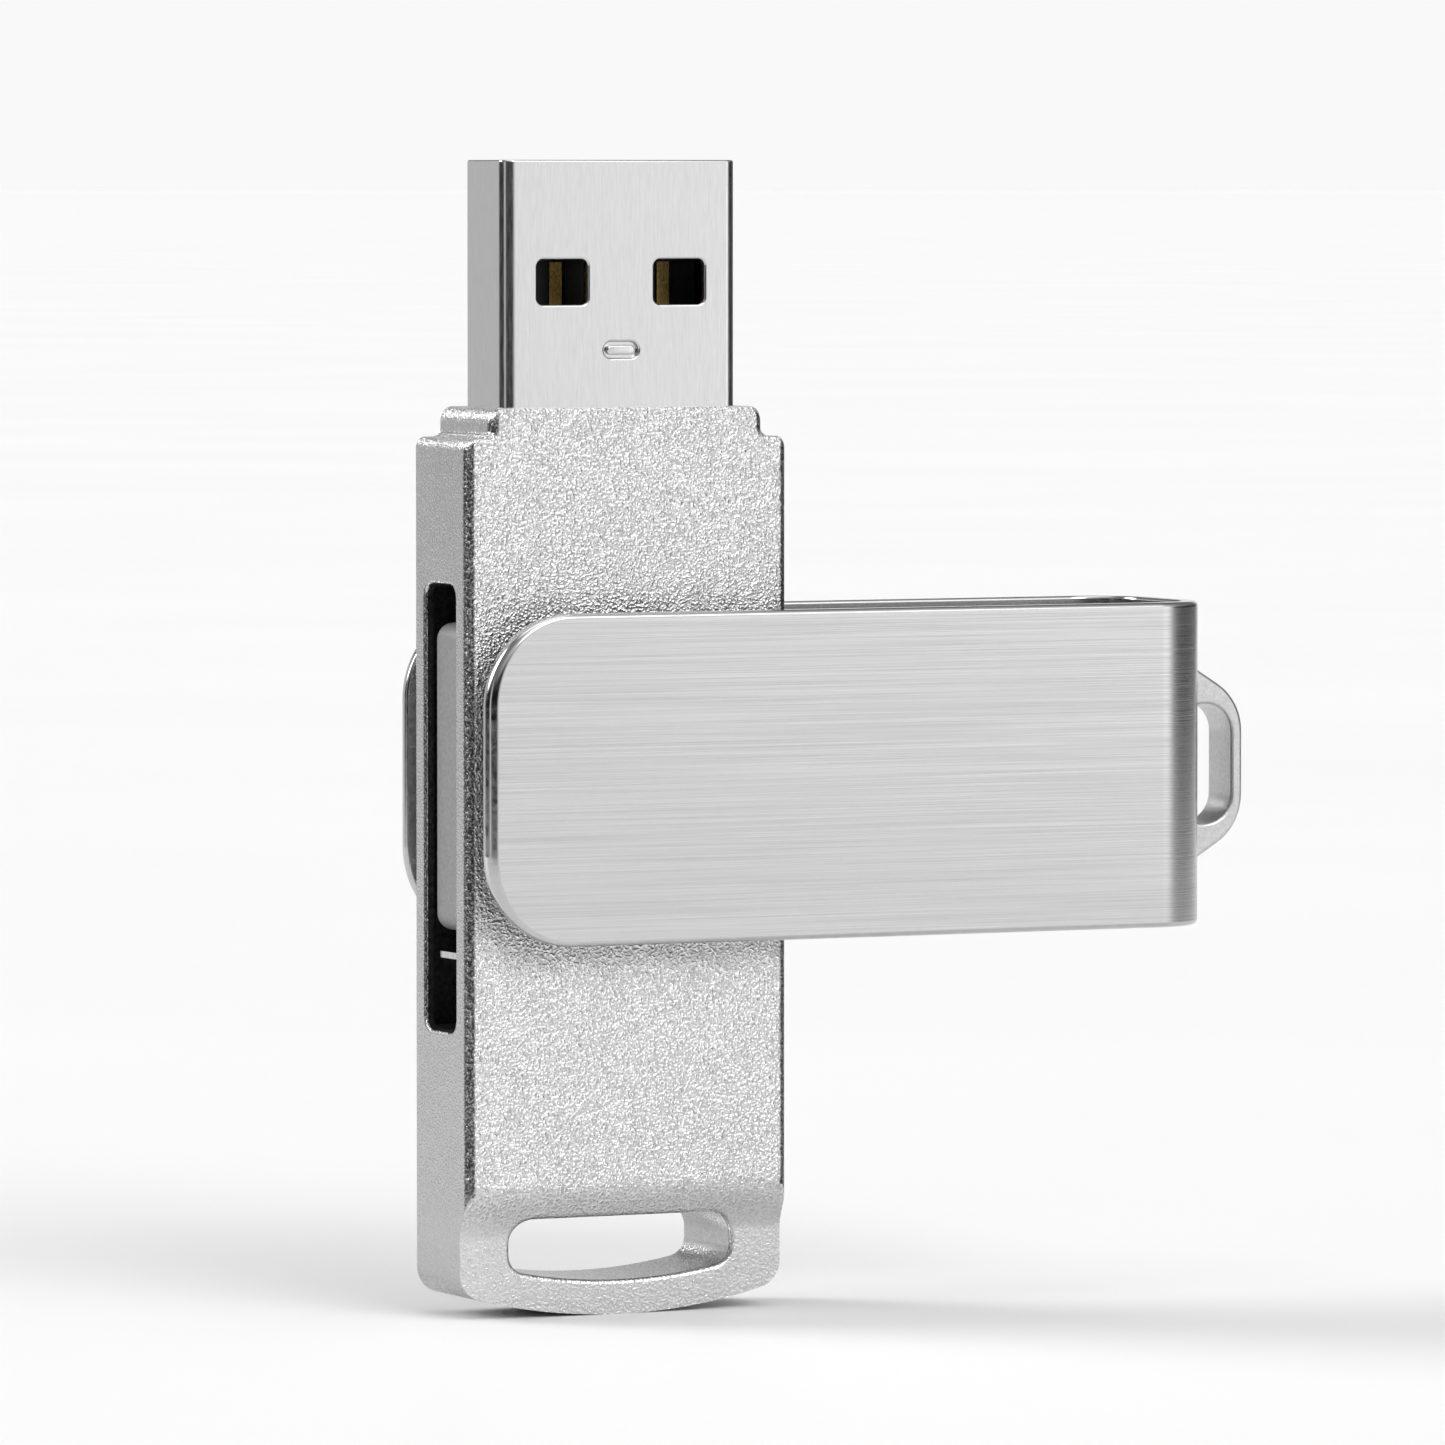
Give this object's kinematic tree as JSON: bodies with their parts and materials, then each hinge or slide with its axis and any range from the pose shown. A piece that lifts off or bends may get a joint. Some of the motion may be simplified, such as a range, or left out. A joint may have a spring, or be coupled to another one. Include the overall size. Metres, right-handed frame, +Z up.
{
  "type": "usb flash drive",
  "caption": "USB flash drive with a cast body, a USB-A plug, a U-shaped steel cap that swivels round the body, a cord loop and a lanyard slot.",
  "frame": {"origin": "bottom centre of the drive's box, with the drive upright on its curved foot and its cap turned a quarter turn to +X", "axes": "+X across the broad face towards the cap's closed end, +Y from the front face to the back face, +Z up, towards the plug's tip"},
  "size_m": [0.0418, 0.01, 0.0537],
  "materials": {
    "cast_metal": "bead-blasted, fine speckle, edges slightly polished",
    "brushed_steel": "brushed along the cap's length",
    "plug_steel": "satin, very fine brushing along the plug",
    "polished_steel": "polished",
    "gold_plate": "gold plated, slightly grainy",
    "black_plastic": "moulded black",
    "grey_plastic": "moulded mid grey, satin",
    "dark_nylon": "moulded dark grey",
    "board_green": "green solder mask",
    "chip_resin": "moulded black resin",
    "capacitor_ceramic": "brown ceramic"
  },
  "bodies": {
    "drive": {"body_shell": "cast_metal", "plug_shell": "plug_steel", "click_spring": "polished_steel", "crystal": "polished_steel", "plug_tongue": "black_plastic", "plug_retainer": "black_plastic", "circuit_board": "board_green", "controller_chip": "chip_resin", "memory_chip": "chip_resin", "contact_1": "gold_plate", "contact_2": "gold_plate", "contact_3": "gold_plate", "contact_4": "gold_plate", "lead_1": "gold_plate", "lead_2": "gold_plate", "lead_3": "gold_plate", "lead_4": "gold_plate", "lead_5": "gold_plate", "capacitor_1": "capacitor_ceramic", "capacitor_2": "capacitor_ceramic", "capacitor_3": "capacitor_ceramic"},
    "cap": {"cap_shell": "brushed_steel", "cap_loop": "cast_metal", "swivel_hub": "grey_plastic", "front_stud": "polished_steel", "back_stud": "polished_steel", "front_washer": "dark_nylon", "back_washer": "dark_nylon"}
  },
  "joints": [
    {"name": "cap_swivel", "type": "hinge", "parent": "drive", "child": "cap", "pos_m": [-0.0126, 0, 0.0251], "axis": [0, -1, 0], "continuous": true}
  ]
}
